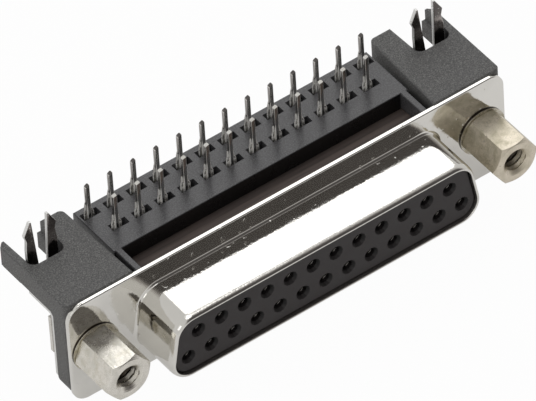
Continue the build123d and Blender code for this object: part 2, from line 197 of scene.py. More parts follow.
class NodeSheet:
    """The node tree of one material or of the world."""

    def __init__(self, tree: bpy.types.NodeTree) -> None:
        """Empties the tree.

        Args:
            tree: The node tree to fill.
        """
        self.tree = tree
        self.tree.nodes.clear()

    def node(
        self,
        kind: str,
        settings: Optional[Dict[str, object]] = None,
        inputs: Optional[Dict[Union[str, int], Feed]] = None,
    ) -> bpy.types.Node:
        """Adds a node, sets it up and feeds its sockets.

        Args:
            kind: Blender's type name of the node.
            settings: The node's own settings, which are made first.
            inputs: Values or links for the sockets, by name or number.

        Returns:
            The new node.
        """
        made = self.tree.nodes.new(kind)
        for name, value in (settings or {}).items():
            setattr(made, name, value)
        for name, value in (inputs or {}).items():
            socket = made.inputs[name]
            if isinstance(value, Wire):
                self.tree.links.new(value.socket, socket)
            elif isinstance(value, tuple) and socket.type == "RGBA" and len(value) == 3:
                socket.default_value = (*value, 1.0)
            else:
                socket.default_value = value
        return made

    def wire(
        self,
        kind: str,
        settings: Optional[Dict[str, object]] = None,
        inputs: Optional[Dict[Union[str, int], Feed]] = None,
        output: Union[str, int] = 0,
    ) -> Wire:
        """Adds a node and wraps one of its outputs.

        Args:
            kind: Blender's type name of the node.
            settings: The node's own settings.
            inputs: Values or links for the sockets.
            output: Name or number of the output.

        Returns:
            The wrapped output.
        """
        return Wire(self, self.node(kind, settings, inputs).outputs[output])

    def place(self) -> Wire:
        """The point on the object, in metres."""
        return self.wire("ShaderNodeTexCoord", output="Object")

    def split(self, vector: Wire) -> Tuple[Wire, Wire, Wire]:
        """The three numbers of a vector.

        Args:
            vector: The vector.

        Returns:
            Its numbers along X, Y and Z.
        """
        x, y, z = self.node("ShaderNodeSeparateXYZ", inputs={0: vector}).outputs
        return Wire(self, x), Wire(self, y), Wire(self, z)

    def parts(self, place: Wire) -> Tuple[Wire, Wire, Wire]:
        """The three numbers of a point on the object, in millimetres."""
        x, y, z = self.split(place)
        return x / MM, y / MM, z / MM

    def facing(self) -> Tuple[Wire, Wire, Wire]:
        """The three numbers of the direction that the surface faces."""
        return self.split(self.wire("ShaderNodeTexCoord", output="Normal"))

    def from_axis(self, x: Wire, z: Wire, pitch: float, spacing: float) -> Tuple[Wire, Wire]:
        """Where a point lies from the axis of the nearest contact of the two staggered rows.

        Args:
            x: The point's X in millimetres.
            z: The point's Z in millimetres.
            pitch: Distance of the contacts in a row.
            spacing: Distance of the rows.

        Returns:
            How far it lies to the right of the axis and how far above it.
        """
        narrow = z.step(-0.01, 0.01)
        across = ((x / pitch + narrow * 0.5 + 0.5).fraction() - 0.5) * pitch
        return across, z - narrow * spacing + spacing / 2

    def noise(self, vector: Wire, grain_mm: float, detail: float = 3.0, rough: float = 0.55) -> Wire:
        """Soft noise with a real grain size.

        Args:
            vector: The point on the object.
            grain_mm: Width of one grain in millimetres.
            detail: Number of finer layers.
            rough: Weight of the finer layers.

        Returns:
            A value around one half.
        """
        inputs = {"Vector": vector, "Scale": 1 / (grain_mm * MM), "Detail": detail, "Roughness": rough}
        return self.wire("ShaderNodeTexNoise", {"noise_dimensions": "3D"}, inputs, "Fac")

    def stretched(self, vector: Wire, x: float, y: float, z: float) -> Wire:
        """A vector scaled differently along each axis."""
        inputs = {0: vector, 1: (x, y, z)}
        return self.wire("ShaderNodeVectorMath", {"operation": "MULTIPLY"}, inputs)

    def blend(self, factor: Feed, first: Feed, second: Feed) -> Wire:
        """Mixes two colours.

        Args:
            factor: 0 gives the first colour and 1 the second.
            first: The first colour.
            second: The second colour.

        Returns:
            The mixed colour.
        """
        settings = {"data_type": "RGBA", "clamp_factor": True}
        return self.wire("ShaderNodeMix", settings, {0: factor, 6: first, 7: second}, 2)

    def bump(self, height: Wire, depth_mm: float, strength: float = 1.0, under: Optional[Wire] = None) -> Wire:
        """Turns a height into a surface normal.

        Args:
            height: The height, from 0 to 1.
            depth_mm: What a height of 1 stands for.
            strength: Share of the effect.
            under: A normal that this one is laid over.

        Returns:
            The normal.
        """
        inputs: Dict[Union[str, int], Feed] = {"Height": height, "Distance": depth_mm * MM, "Strength": strength}
        if under is not None:
            inputs["Normal"] = under
        return self.wire("ShaderNodeBump", None, inputs)

    def surface(self, inputs: Dict[Union[str, int], Feed]) -> None:
        """Ends the sheet with a principled surface.

        Args:
            inputs: Values or links for the shader's sockets.
        """
        shader = self.node("ShaderNodeBsdfPrincipled", None, inputs)
        self.node("ShaderNodeOutputMaterial", None, {"Surface": Wire(self, shader.outputs[0])})


def new_material(name: str) -> Tuple[bpy.types.Material, NodeSheet]:
    """Adds a material with an empty node sheet.

    Args:
        name: The material's name.

    Returns:
        The material and its sheet.
    """
    material = bpy.data.materials.new(name)
    material.use_nodes = True
    return material, NodeSheet(material.node_tree)


# Finishes. A span says where a mark begins and where it is complete.


@dataclass(frozen=True)
class MouldedPlastic:
    """Dark moulded plastic with a fine grain, flow marks and a soft sheen."""

    name: str
    base: Colour
    worn: Colour
    grain_mm: float
    grain_depth_mm: float
    rough_low: float
    rough_high: float
    specular: float = 0.5
    flow_mm: float = 1.6
    flow_depth: float = 1.5
    flow_share: float = 0.6
    worn_span: Span = (0.32, 0.68)
    rough_span: Span = (0.3, 0.7)

    def build(self) -> bpy.types.Material:
        """Makes the material.

        Returns:
            The finished material.
        """
        material, sheet = new_material(self.name)
        place = sheet.place()
        grain = sheet.noise(place, self.grain_mm, detail=4.0, rough=0.6)
        flow = sheet.noise(place, self.flow_mm, detail=3.0)
        patches = (flow * 0.6 + grain * 0.4).step(*self.worn_span)
        rough = (grain * 0.5 + flow * 0.5).step(*self.rough_span).between(self.rough_low, self.rough_high)
        normal = sheet.bump(grain, self.grain_depth_mm)
        normal = sheet.bump(flow, self.grain_depth_mm * self.flow_depth, self.flow_share, under=normal)
        sheet.surface({
            "Base Color": self.tint(sheet, place, sheet.blend(patches, self.base, self.worn)),
            "Roughness": rough,
            "Normal": self.relief(sheet, place, normal),
            "Specular IOR Level": self.specular,
        })
        return material

    def tint(self, sheet: NodeSheet, place: Wire, colour: Wire) -> Wire:
        """The colour with the marks that belong to one piece; plain pieces have none."""
        return colour

    def relief(self, sheet: NodeSheet, place: Wire, normal: Wire) -> Wire:
        """The normal with the relief that belongs to one piece; plain pieces have none."""
        return normal


@dataclass(frozen=True)
class InsulatorPlastic(MouldedPlastic):
    """Plastic of the insulators, with painted shade inside the contact holes and painted light, brown and
    streaked, on top behind the flange.
    """

    pitch: float = 2.77
    row_spacing: float = 2.84
    mouth_radius: Span = (0.82, 0.88)
    mouth_start: Span = (0.01, 0.08)
    mouth_end: Span = (0.7, 0.75)
    shade_slant: float = 0.4
    shade_span: Span = (-0.5, 0.1)
    shade_least: float = 0.35
    hole_shade_colour: Colour = (0.003, 0.0026, 0.0026)
    top_height: Span = (3.8, 3.95)
    top_start: Span = (6.1, 6.3)
    top_light_colour: Colour = (0.13, 0.1, 0.088)
    streak_mm: float = 0.5
    streak_span: Span = (0.3, 0.65)
    streak_length: float = 20.0
    streak_least: float = 0.45
    first_ledge: Span = (6.95, 7.05)
    second_ledge: Span = (7.85, 7.95)
    ledge_mm: float = 0.06

    def tint(self, sheet: NodeSheet, place: Wire, colour: Wire) -> Wire:
        """Paints shade into the holes, most of all above, and paints light in brown streaks on the top.

        Args:
            sheet: The material's sheet.
            place: The point on the object.
            colour: The plain colour.

        Returns:
            The marked colour.
        """
        x, y, z = sheet.parts(place)
        across, above = sheet.from_axis(x, z, self.pitch, self.row_spacing)
        radius = (across * across + above * above) ** 0.5
        inside = (1 - radius.step(*self.mouth_radius)) * y.step(*self.mouth_start) * (1 - y.step(*self.mouth_end))
        upper = (above + across * self.shade_slant).step(*self.shade_span)
        shade = inside * upper.between(self.shade_least, 1.0)
        # Painted shade: the mouths of the holes are darkened, most of all in their upper part.
        colour = sheet.blend(shade, colour, self.hole_shade_colour)
        # Painted light: the top behind the flange is lightened to brown, broken into streaks.
        drawn = sheet.stretched(place, 1 / self.streak_length, 1.0, 1.0)
        streak = sheet.noise(drawn, self.streak_mm, detail=2.0)
        streak = streak.step(*self.streak_span).between(self.streak_least, 1.0)
        return sheet.blend(z.step(*self.top_height) * y.step(*self.top_start) * streak, colour, self.top_light_colour)

    def relief(self, sheet: NodeSheet, place: Wire, normal: Wire) -> Wire:
        """Adds the two low moulded ledges along the top.

        Args:
            sheet: The material's sheet.
            place: The point on the object.
            normal: The normal without them.

        Returns:
            The new normal.
        """
        _, y, z = sheet.parts(place)
        ledges = y.step(*self.first_ledge) + y.step(*self.second_ledge)
        return sheet.bump(ledges * z.step(*self.top_height) * 0.5, self.ledge_mm, under=normal)


@dataclass(frozen=True)
class GrainyPlastic(MouldedPlastic):
    """Glass filled plastic with a speckled skin and painted shade in its nooks."""

    speck_mm: float = 0.13
    dark: float = 0.62
    light: float = 1.45
    dark_span: Span = (0.62, 0.4)
    light_span: Span = (0.55, 0.78)
    nook_shade_tone: Colour = (0.006, 0.006, 0.0065)

    def tint(self, sheet: NodeSheet, place: Wire, colour: Wire) -> Wire:
        """Adds dark and light specks and paints shade into the nook.

        Args:
            sheet: The material's sheet.
            place: The point on the object.
            colour: The plain colour.

        Returns:
            The speckled colour.
        """
        speck = sheet.noise(place, self.speck_mm, detail=2.0, rough=0.7)
        darker = tuple(part * self.dark for part in self.base)
        lighter = tuple(part * self.light for part in self.worn)
        colour = sheet.blend(speck.step(*self.dark_span), colour, darker)
        colour = sheet.blend(speck.step(*self.light_span), colour, lighter)
        # Painted shade: nooks that the light doesn't reach are darkened to near black.
        return sheet.blend(self.shaded_nook(*sheet.parts(place)), colour, self.nook_shade_tone)

    def shaded_nook(self, x: Wire, y: Wire, z: Wire) -> Feed:
        """How much painted shade falls on a point in a nook; plain pieces have none."""
        return 0.0


@dataclass(frozen=True)
class CombPlastic(GrainyPlastic):
    """Plastic of the tail comb."""

    wall_front: Span = (9.96, 9.99)
    wall_end: Span = (16.8, 16.9)

    def shaded_nook(self, x: Wire, y: Wire, z: Wire) -> Feed:
        """Painted shade on the front wall between the two arms."""
        return (1 - y.step(*self.wall_front)) * (1 - x.size().step(*self.wall_end))


@dataclass(frozen=True)
class BracketPlastic(GrainyPlastic):
    """Plastic of the brackets."""

    slot_middle: float = 23.45
    slot_half_width: Span = (2.25, 2.27)
    slot_front: Span = (12.85, 12.87)
    slot_ribs: Span = (14.57, 14.59)
    slot_top: Span = (6.5, 6.55)

    def shaded_nook(self, x: Wire, y: Wire, z: Wire) -> Feed:
        """Painted shade on the walls of the slot around the prongs, as far as the ribs."""
        across = 1 - (x.size() - self.slot_middle).size().step(*self.slot_half_width)
        return across * y.step(*self.slot_front) * (1 - y.step(*self.slot_ribs)) * (1 - z.step(*self.slot_top))


@dataclass
class Look:
    """What a plated surface shows, before it goes to the shader."""

    skin: Wire
    cloud: Wire
    colour: Wire
    rough: Wire
    metal: Feed
    normal: Wire


@dataclass(frozen=True)
class PlatedSheet:
    """Bright plating with soft waves, a mottled skin and cloudy stains."""

    name: str
    base: Colour
    stain: Colour
    rough_low: float
    rough_high: float
    skin_mm: float
    skin_depth_mm: float
    wave_mm: float
    wave_depth_mm: float
    cloud_waves: float = 2.2
    cloud_detail: float = 2.0
    stain_span: Span = (0.35, 0.7)

    def build(self) -> bpy.types.Material:
        """Makes the material.

        Returns:
            The finished material.
        """
        material, sheet = new_material(self.name)
        place = sheet.place()
        skin = sheet.noise(place, self.skin_mm, detail=2.5, rough=0.5)
        wave = sheet.noise(place, self.wave_mm, detail=1.0, rough=0.4)
        cloud = sheet.noise(place, self.wave_mm * self.cloud_waves, detail=self.cloud_detail)
        colour = sheet.blend(cloud.step(*self.stain_span), self.base, self.stain)
        rough = (skin * 0.5 + cloud * 0.5).step(*self.stain_span).between(self.rough_low, self.rough_high)
        normal = sheet.bump(wave, self.wave_depth_mm)
        normal = sheet.bump(skin, self.skin_depth_mm, under=normal)
        look = Look(skin, cloud, colour, rough, 1.0, normal)
        self.mark(sheet, place, look)
        sheet.surface({
            "Base Color": look.colour,
            "Roughness": look.rough,
            "Metallic": look.metal,
            "Normal": look.normal,
        })
        return material

    def mark(self, sheet: NodeSheet, place: Wire, look: Look) -> None:
        """Adds the marks that belong to one piece to its look; plain pieces have none."""


@dataclass(frozen=True)
class DrawnSheet(PlatedSheet):
    """Bright plating that is mottled along the two bends of the collar and has a few blisters."""

    speckle_mm: float = 0.17
    speckle_depth_mm: float = 0.005
    root_start: Span = (3.6, 4.9)
    root_end: Span = (5.6, 5.74)
    lip_end: Span = (0.4, 0.7)
    lip_share: float = 1.8
    flat_share: float = 0.12
    blister_mm: float = 0.7
    blister_depth_mm: float = 0.03
    blister_span: Span = (0.76, 0.82)
    blister_start: Span = (4.2, 4.6)

    def mark(self, sheet: NodeSheet, place: Wire, look: Look) -> None:
        """Adds the speckle of the bends and the blisters.

        Args:
            sheet: The material's sheet.
            place: The point on the object.
            look: The look, which is changed.
        """
        _, y, _ = sheet.parts(place)
        root = y.step(*self.root_start) * (1 - y.step(*self.root_end))
        lip = 1 - y.step(*self.lip_end)
        bends = root.at_least(lip * self.lip_share).between(self.flat_share, 1.0)
        speckle = sheet.noise(place, self.speckle_mm, detail=2.0, rough=0.6)
        blister = sheet.noise(place, self.blister_mm, detail=0.0).step(*self.blister_span)
        blister = blister * y.step(*self.blister_start)
        look.normal = sheet.bump(speckle * bends, self.speckle_depth_mm, under=look.normal)
        look.normal = sheet.bump(blister, self.blister_depth_mm, under=look.normal)


@dataclass(frozen=True)
class PinPlate(PlatedSheet):
    """Smooth plating with painted highlights, also matt, along the rounded edges and on the web at the comb, and
    painted shade on the sides, the rear tips, the sockets and their bores.
    """

    pitch: float = 2.77
    row_spacing: float = 2.84
    edge_highlight_colour: Colour = (0.95, 0.94, 0.91)
    edge_span: Span = (0.22, 0.45)
    side_span: Span = (0.86, 0.97)
    leg_start: Span = (5.6, 5.9)
    web_start: Span = (11.0, 11.2)
    web_top: Span = (6.5, 7.0)
    web_span: Span = (0.05, 0.25)
    web_share: float = 0.9
    rear_row: Span = (14.5, 14.6)
    rear_share: float = 0.4
    foot_share: float = 0.3
    flank_shade_tone: Colour = (0.26, 0.245, 0.24)
    flank_span: Span = (0.9, 0.98)
    flank_start: Span = (6.8, 7.1)
    rear_tip_shade: Colour = (0.1, 0.09, 0.085)
    tip_span: Span = (0.5, 0.8)
    tip_start: Span = (9.0, 9.1)
    socket_shade_tone: Colour = (0.2, 0.185, 0.175)
    socket_end: Span = (8.2, 8.5)
    bore_shade_tone: Colour = (0.012, 0.011, 0.011)
    bore_radius: Span = (0.55, 0.58)
    bore_start: Span = (1.0, 2.4)
    shade_share: float = 0.85
    matt_rough: float = 0.25
    matt_share: float = 0.8

    def mark(self, sheet: NodeSheet, place: Wire, look: Look) -> None:
        """Paints highlights on the edges and the web, which are also made matt, and paints shade on the sides, the
        rear tips, the sockets and their bores.

        Args:
            sheet: The material's sheet.
            place: The point on the object.
            look: The look, which is changed.
        """
        x, y, z = sheet.parts(place)
        across, above = sheet.from_axis(x, z, self.pitch, self.row_spacing)
        radius = (across * across + above * above) ** 0.5
        # Painted shade inside the insulator: the sockets and, darker still, their bores.
        socket = 1 - y.step(*self.socket_end)
        bore = (1 - radius.step(*self.bore_radius)) * y.step(*self.bore_start) * socket
        facing_x, _, facing_z = sheet.facing()
        sideways = facing_x.size()
        rear = y.step(*self.rear_row)
        web = (1 - z.step(*self.web_top)) * y.step(*self.web_start) * rear.between(1.0, self.rear_share)
        # Painted highlight: the rounded edges and the web are whitened, and made rougher and less metallic.
        corner = sideways.step(*self.edge_span) * (1 - sideways.step(*self.side_span))
        matt = corner * z.step(*self.leg_start).between(self.foot_share, 1.0)
        matt = matt.at_least(web * sideways.step(*self.web_span) * self.web_share)
        # Painted shade: the flanks above the comb and the rear row's upward tips are darkened.
        flank = sideways.step(*self.flank_span) * z.step(*self.flank_start) * self.shade_share
        tip = facing_z.step(*self.tip_span) * rear * z.step(*self.tip_start)
        layers = (
            (flank, self.flank_shade_tone),
            (matt, self.edge_highlight_colour),
            (tip, self.rear_tip_shade),
            (socket * self.shade_share, self.socket_shade_tone),
            (bore, self.bore_shade_tone),
        )
        for share, colour in layers:
            look.colour = sheet.blend(share, look.colour, colour)
        look.rough = look.rough + matt * self.matt_rough
        look.metal = 1 - matt * self.matt_share


@dataclass(frozen=True)
class StampedPlate(PlatedSheet):
    """Stamped sheet with painted shade on its rolled faces and bright sheared edges."""

    cloud_waves: float = 1.4
    cloud_detail: float = 3.0
    face: Colour = (0.3, 0.265, 0.25)
    face_light: Colour = (0.48, 0.44, 0.42)
    prong_tip_shade: Colour = (0.075, 0.068, 0.066)
    facing_span: Span = (0.75, 0.95)
    light_span: Span = (0.42, 0.66)
    tip_start: Span = (8.4, 9.3)
    left_share: float = 0.3
    right_share: float = 0.8
    fleck_mm: float = 0.16
    fleck_span: Span = (0.68, 0.76)
    fleck_share: float = 0.7
    face_rough: float = 0.15
    edge_metal: float = 0.55

    def mark(self, sheet: NodeSheet, place: Wire, look: Look) -> None:
        """Paints shade on the faces, darker still at the prongs' tips, with bright flecks.

        Args:
            sheet: The material's sheet.
            place: The point on the object.
            look: The look, which is changed.
        """
        x, _, z = sheet.parts(place)
        flat = sheet.facing()[1].size().step(*self.facing_span)
        # Painted shade: the flat faces get a dark colour, darkest at the prongs' tips and more so on the right
        # lock.
        face = sheet.blend((look.cloud * 0.5 + look.skin * 0.5).step(*self.light_span), self.face, self.face_light)
        dark = z.step(*self.tip_start) * x.step(-1.0, 1.0).between(self.left_share, self.right_share)
        face = sheet.blend(dark, face, self.prong_tip_shade)
        fleck = sheet.noise(place, self.fleck_mm, detail=1.0).step(*self.fleck_span)
        face = sheet.blend(fleck * self.fleck_share, face, self.base)
        look.colour = sheet.blend(flat, look.colour, face)
        look.rough = look.rough + (1 - flat) * self.face_rough
        look.metal = flat.between(self.edge_metal, 1.0)


@dataclass(frozen=True)
class TurnedPlate:
    """Plating on a turned piece, with fine rings about its axis, a patina, and painted shade on its rim and in its
    bore.
    """

    name: str
    base: Colour
    stain: Colour
    rough_low: float
    rough_high: float
    axis_mm: float
    metal: float = 0.72
    ring_mm: float = 0.16
    ring_depth_mm: float = 0.004
    skin_depth: float = 1.6
    cloud_mm: float = 1.1
    fine_mm: float = 0.12
    stain_span: Span = (0.38, 0.66)
    rough_span: Span = (0.3, 0.7)
    patina: Colour = (0.42, 0.38, 0.25)
    patina_share: float = 0.7
    patina_start: Span = (0.3, 0.5)
    end_share: float = 0.25
    spot_mm: float = 0.9
    spot_span: Span = (0.42, 0.66)
    fine_span: Span = (0.38, 0.68)
    fine_share: float = 0.5
    rim_and_bore_shade: Colour = (0.03, 0.02, 0.012)
    rim_span: Span = (8.96, 8.99)
    rim_start: Span = (5.6, 5.63)
    bore_span: Span = (0.0, 0.05)
    bore_start: Span = (0.5, 2.2)

    def build(self) -> bpy.types.Material:
        """Makes the material.

        Returns:
            The finished material.
        """
        material, sheet = new_material(self.name)
        place = sheet.place()
        x, y, z = sheet.parts(place)
        across = x - self.axis_mm
        radius = (across * across + z * z) ** 0.5
        ring = (radius * (2 * math.pi / self.ring_mm)).sine()
        cloud = sheet.noise(place, self.cloud_mm, detail=3.0)
        fine = sheet.noise(place, self.fine_mm, detail=2.0)
        spots = sheet.noise(place, self.spot_mm, detail=5.0, rough=0.75)
        worn = y.step(*self.patina_start).between(self.end_share * self.patina_share, self.patina_share)
        # Painted shade: the rim and the deep bore are darkened towards dark brown.
        rim = radius.step(*self.rim_span) * y.step(*self.rim_start)
        deep = (1 - radius.step(*self.bore_span)) * y.step(*self.bore_start)
        colour = sheet.blend(cloud.step(*self.stain_span), self.base, self.stain)
        layers = (
            (spots.step(*self.spot_span) * worn, self.patina),
            (fine.step(*self.fine_span) * worn * self.fine_share, self.patina),
            (rim, self.rim_and_bore_shade),
            (deep, self.rim_and_bore_shade),
        )
        for share, layer in layers:
            colour = sheet.blend(share, colour, layer)
        rough = (cloud * 0.6 + fine * 0.4).step(*self.rough_span).between(self.rough_low, self.rough_high)
        normal = sheet.bump(ring * 0.5 + 0.5, self.ring_depth_mm)
        normal = sheet.bump(fine * 0.4 + cloud * 0.6, self.ring_depth_mm * self.skin_depth, under=normal)
        sheet.surface({"Base Color": colour, "Roughness": rough, "Metallic": self.metal, "Normal": normal})
        return material


# Modelling


class Bench:
    """Edit mode tools that the pieces are modelled with. All sizes are in millimetres."""

    MERGE = 0.0005

    @staticmethod
    def clear() -> None:
        """Leaves edit mode and deselects everything."""
        if bpy.context.object is not None and bpy.context.object.mode != "OBJECT":
            bpy.ops.object.mode_set(mode="OBJECT")
        bpy.ops.object.select_all(action="DESELECT")

    @staticmethod
    def only(piece: bpy.types.Object) -> None:
        """Makes one object the only selected and active one.

        Args:
            piece: The object.
        """
        Bench.clear()
        piece.select_set(True)
        bpy.context.view_layer.objects.active = piece

    @staticmethod
    def loft(name: str, rings: Sequence[Sequence[Vector]], caps: bool, closed: bool = False) -> bpy.types.Object:
        """Adds a circle of edges and draws it out through each ring of points in turn.

        Args:
            name: Name of the piece.
            rings: Rings with the same number of points, in millimetres.
            caps: Whether the first and last rings are filled.
            closed: Whether the last ring meets the first one.

        Returns:
            The new object.
        """
        Bench.clear()
        bpy.ops.mesh.primitive_circle_add(vertices=len(rings[0]), fill_type="NOTHING")
        piece = bpy.context.object
        piece.name = piece.data.name = name
        for vertex, point in zip(piece.data.vertices, rings[0]):
            vertex.co = Vector(point) * MM
        bpy.ops.object.mode_set(mode="EDIT")
        bpy.ops.mesh.select_mode(type="EDGE")
        bpy.ops.mesh.select_all(action="SELECT")
        if caps:
            bpy.ops.mesh.edge_face_add()
            bpy.ops.mesh.select_all(action="SELECT")
        last = rings[0]
        for ring in rings[1:]:
            if caps:
                bpy.ops.mesh.extrude_region_move()
            else:
                bpy.ops.mesh.extrude_edges_move()
            tree = KDTree(len(last))
            for index, point in enumerate(last):
                tree.insert(Vector(point) * MM, index)
            tree.balance()
            mesh = bmesh.from_edit_mesh(piece.data)
            for vertex in mesh.verts:
                if vertex.select:
                    vertex.co = Vector(ring[tree.find(vertex.co)[1]]) * MM
            bmesh.update_edit_mesh(piece.data)
            last = ring
        bpy.ops.mesh.select_all(action="SELECT")
        if closed:
            bpy.ops.mesh.remove_doubles(threshold=Bench.MERGE * MM)
        bpy.ops.mesh.normals_make_consistent(inside=False)
        bpy.ops.object.mode_set(mode="OBJECT")
        return piece

    @staticmethod
    def carve(piece: bpy.types.Object, tool: bpy.types.Object, keep: Keep = Keep.OUTSIDE) -> None:
        """Cuts a piece with another one, which is used up.

        Args:
            piece: The piece that stays.
            tool: The piece that cuts.
            keep: What is left of the piece.
        """
        Bench.only(piece)
        cut = piece.modifiers.new("cut", "BOOLEAN")
        cut.operation = keep.value
        cut.solver = "EXACT"
        cut.object = tool
        bpy.ops.object.modifier_apply(modifier=cut.name)
        bpy.data.objects.remove(tool)

    @staticmethod
    def ease(piece: bpy.types.Object, width: float, segments: int = 2, angle: float = 35.0) -> None:
        """Rounds the sharp edges of a piece.

        Args:
            piece: The piece.
            width: Width of the rounding.
            segments: Number of faces across it.
            angle: The least angle of an edge that is rounded, in degrees.
        """
        Bench.only(piece)
        bevel = piece.modifiers.new("ease", "BEVEL")
        bevel.width = width * MM
        bevel.segments = segments
        bevel.limit_method = "ANGLE"
        bevel.angle_limit = math.radians(angle)
        bevel.use_clamp_overlap = True
        bpy.ops.object.modifier_apply(modifier=bevel.name)

    @staticmethod
    def smooth(piece: bpy.types.Object, angle: float = 32.0) -> None:
        """Shades a piece smooth except at its sharp edges."""
        Bench.only(piece)
        bpy.ops.object.shade_smooth_by_angle(angle=math.radians(angle))

    @staticmethod
    def join(pieces: Sequence[bpy.types.Object], name: str) -> bpy.types.Object:
        """Joins pieces into one object.

        Args:
            pieces: The pieces; the first one stays.
            name: Name of the result.

        Returns:
            The joined object.
        """
        Bench.clear()
        for piece in pieces:
            piece.select_set(True)
        bpy.context.view_layer.objects.active = pieces[0]
        bpy.ops.object.join()
        joined = bpy.context.object
        joined.name = joined.data.name = name
        return joined

    @staticmethod
    def copy(piece: bpy.types.Object, name: str, move: Vector) -> bpy.types.Object:
        """Copies a piece with a mesh of its own and moves the mesh.

        Args:
            piece: The piece to copy.
            name: Name of the copy.
            move: How far the copy lies from the piece, in millimetres.

        Returns:
            The copy.
        """
        twin = piece.copy()
        twin.data = piece.data.copy()
        twin.name = twin.data.name = name
        twin.data.transform(Matrix.Translation(Vector(move) * MM))
        bpy.context.scene.collection.objects.link(twin)
        return twin

    @staticmethod
    def dress(piece: bpy.types.Object, material: bpy.types.Material) -> None:
        """Gives a piece one material on all its faces.

        Args:
            piece: The piece.
            material: The material.
        """
        piece.data.materials.clear()
        piece.data.materials.append(material)
        for face in piece.data.polygons:
            face.material_index = 0


def arc(centre: Point, radius: float, start: float, end: float, steps: int) -> List[Point]:
    """Points on an arc.

    Args:
        centre: The centre.
        radius: The radius.
        start: First angle in degrees.
        end: Last angle in degrees.
        steps: Number of steps between them.

    Returns:
        The points, both ends included.
    """
    points = []
    for index in range(steps + 1):
        angle = math.radians(start + (end - start) * index / steps)
        points.append((centre[0] + radius * math.cos(angle), centre[1] + radius * math.sin(angle)))
    return points


def circle(centre: Point, radius: float, count: int, start: float = 0.0) -> List[Point]:
    """Points evenly spaced on a whole circle, the first one at the start angle in degrees."""
    return arc(centre, radius, start, start + 360 - 360 / count, count - 1)


def rounded_outline(corners: Sequence[Point], radius: float, steps: int) -> List[Point]:
    """A convex outline with the same radius at each corner.

    Args:
        corners: The sharp corners, anticlockwise.
        radius: The radius.
        steps: Number of steps on each arc.

    Returns:
        The points of the outline.
    """
    points: List[Point] = []
    count = len(corners)
    for index in range(count):
        here = Vector(corners[index])
        before = (Vector(corners[index - 1]) - here).normalized()
        after = (Vector(corners[(index + 1) % count]) - here).normalized()
        half = before.angle(after) / 2
        centre = here + (before + after).normalized() * (radius / math.sin(half))
        start = here + before * (radius / math.tan(half)) - centre
        first = math.degrees(math.atan2(start.y, start.x))
        points += arc((centre.x, centre.y), radius, first, first + 180 - math.degrees(2 * half), steps)
    return points


def across_y(outline: Sequence[Point], y: float) -> List[Vector]:
    """Lifts an outline in X and Z to a ring at one Y."""
    return [Vector((x, y, z)) for x, z in outline]


# Pieces


@dataclass
class FrontShell:
    """The drawn sheet with the flange, the D shaped collar, its rounded lip and the root fillet."""

    finish: PlatedSheet
    width: float = 52.9
    height: float = 12.8
    corner: float = 1.8
    edge: float = 0.12
    thickness: float = 0.45
    front: float = 5.75
    lip: float = -0.35
    lip_depth: float = 0.33
    lip_reach: float = 0.9
    lip_inner_radius: float = 0.1
    root_radius: float = 0.35
    rear_radius: float = 0.4
    mid_half_width: float = 18.55
    half_height: float = 3.95
    side_angle: float = 10.0
    collar_corner: float = 2.4
    hole_spacing: float = 47.04
    hole_radius: float = 1.55
    hole_reach: float = 1.0
    hole_steps: int = 48
    corner_steps: int = 12
    rear_steps: int = 6
    inner_steps: int = 4
    lip_steps: int = 12
    root_steps: int = 10
    edge_steps: int = 4

    def d_ring(self, inset: float, y: float) -> List[Vector]:
        """A ring of the D outline, moved inwards.

        Args:
            inset: How far it is moved inwards.
            y: Where it lies along Y.

        Returns:
            The ring.
        """
        slope = math.tan(math.radians(self.side_angle))
        half = self.half_height - inset
        mid = self.mid_half_width - inset / math.cos(math.radians(self.side_angle))
        low, high = mid + half * slope, mid - half * slope
        corners = [(-low, -half), (low, -half), (high, half), (-high, half)]
        return across_y(rounded_outline(corners, self.collar_corner - inset, self.corner_steps), y)

    def flange_ring(self, inset: float, y: float) -> List[Vector]:
        """A ring of the flange outline, moved inwards.

        Args:
            inset: How far it is moved inwards.
            y: Where it lies along Y.

        Returns:
            The ring.
        """
        x, z = self.width / 2 - inset, self.height / 2 - inset
        corners = [(-x, -z), (x, -z), (x, z), (-x, z)]
        return across_y(rounded_outline(corners, self.corner - inset, self.corner_steps), y)

    def rings(self) -> List[List[Vector]]:
        """The rings around the sheet's section, from the back of the opening round to it again.

        Returns:
            The rings.
        """
        back = self.front + self.thickness
        rear, inner, root = self.rear_radius, self.lip_inner_radius, self.root_radius
        rings = []
        for depth, y in arc((self.thickness - rear, back - rear), rear, 90, 0, self.rear_steps):
            rings.append(self.d_ring(depth, y))
        for depth, y in arc((self.thickness - inner, self.lip + inner), inner, 0, -90, self.inner_steps):
            rings.append(self.d_ring(depth, y))
        for u, v in arc((0, 0), 1.0, -90, -180, self.lip_steps):
            rings.append(self.d_ring(self.lip_depth * (1 + u), self.lip + self.lip_reach * (1 + v)))
        for depth, y in arc((-root, self.front - root), root, 0, 90, self.root_steps):
            rings.append(self.d_ring(depth, y))
        for depth, y in arc((self.edge, self.front + self.edge), self.edge, -90, -180, self.edge_steps):
            rings.append(self.flange_ring(depth, y))
        rings.append(self.flange_ring(0, back))
        rings.append(rings[0])
        return rings

    def build(self) -> List[bpy.types.Object]:
        """Models and dresses the shell.

        Returns:
            The shell as the only piece.
        """
        shell = Bench.loft("shell_sheet", self.rings(), caps=False, closed=True)
        for side in Side:
            outline = circle((side.value * self.hole_spacing / 2, 0), self.hole_radius, self.hole_steps)
            near, far = self.front - self.hole_reach, self.front + self.hole_reach
            Bench.carve(shell, Bench.loft("hole", [across_y(outline, near), across_y(outline, far)], caps=True))
        Bench.smooth(shell)
        Bench.dress(shell, self.finish.build())
        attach(shell, "root")
        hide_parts("front_shell")
        return [shell]


